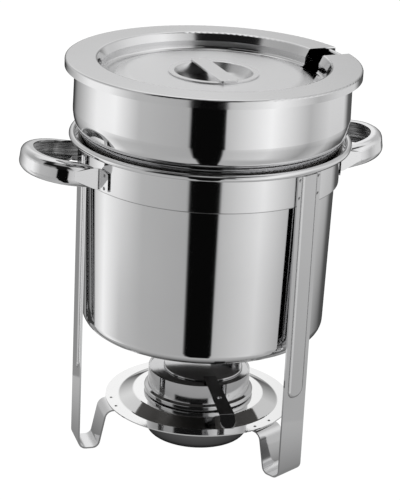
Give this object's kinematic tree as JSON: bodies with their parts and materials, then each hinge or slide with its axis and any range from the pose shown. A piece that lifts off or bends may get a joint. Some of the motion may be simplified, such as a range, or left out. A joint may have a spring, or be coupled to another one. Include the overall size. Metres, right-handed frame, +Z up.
{
  "type": "soup kettle",
  "caption": "Buffet soup kettle: covered soup inset hung in a water pan on a legged stand, kept hot by a lidded fuel burner on a shelf below",
  "frame": {"origin": "on the pot's axis, at the floor under the feet", "axes": "+Z up along the pot's axis, X through the two handles, the ladle notch near +X, the burner's cap handle near -Y"},
  "size_m": [0.3262, 0.25, 0.3447],
  "materials": {
    "pot_steel": "mirror polished stainless steel",
    "lid_steel": "mirror polished stainless steel",
    "stand_steel": "polished stainless steel",
    "burner_steel": "polished stainless steel",
    "tin_plate": "plain tinned steel"
  },
  "bodies": {
    "stand": {"stand_collar": "stand_steel", "leg_left": "stand_steel", "leg_front": "stand_steel", "leg_rear": "stand_steel", "burner_shelf": "stand_steel", "handle_left": "stand_steel", "handle_right": "stand_steel"},
    "pan": {"water_pan": "pot_steel"},
    "inset": {"soup_inset": "pot_steel"},
    "lid": {"lid_shell": "lid_steel", "grip_dish": "lid_steel", "lid_grip": "lid_steel"},
    "burner": {"fuel_cup": "burner_steel", "flame_ring": "burner_steel", "fuel_tin": "tin_plate"},
    "snuffer": {"snuffer_cap": "burner_steel", "cap_handle": "burner_steel"}
  },
  "joints": [
    {"name": "pan_lift", "type": "slide", "parent": "stand", "child": "pan", "axis": [0, 0, 1], "range_m": [0, 0.17]},
    {"name": "inset_lift", "type": "slide", "parent": "pan", "child": "inset", "axis": [0, 0, 1], "range_m": [0, 0.16]},
    {"name": "lid_lift", "type": "slide", "parent": "inset", "child": "lid", "axis": [0, 0, 1], "range_m": [0, 0.12]},
    {"name": "burner_lift", "type": "slide", "parent": "stand", "child": "burner", "axis": [0, 0, 1], "range_m": [0, 0.038]},
    {"name": "snuffer_lift", "type": "slide", "parent": "burner", "child": "snuffer", "axis": [0, 0, 1], "range_m": [0, 0.03]}
  ]
}
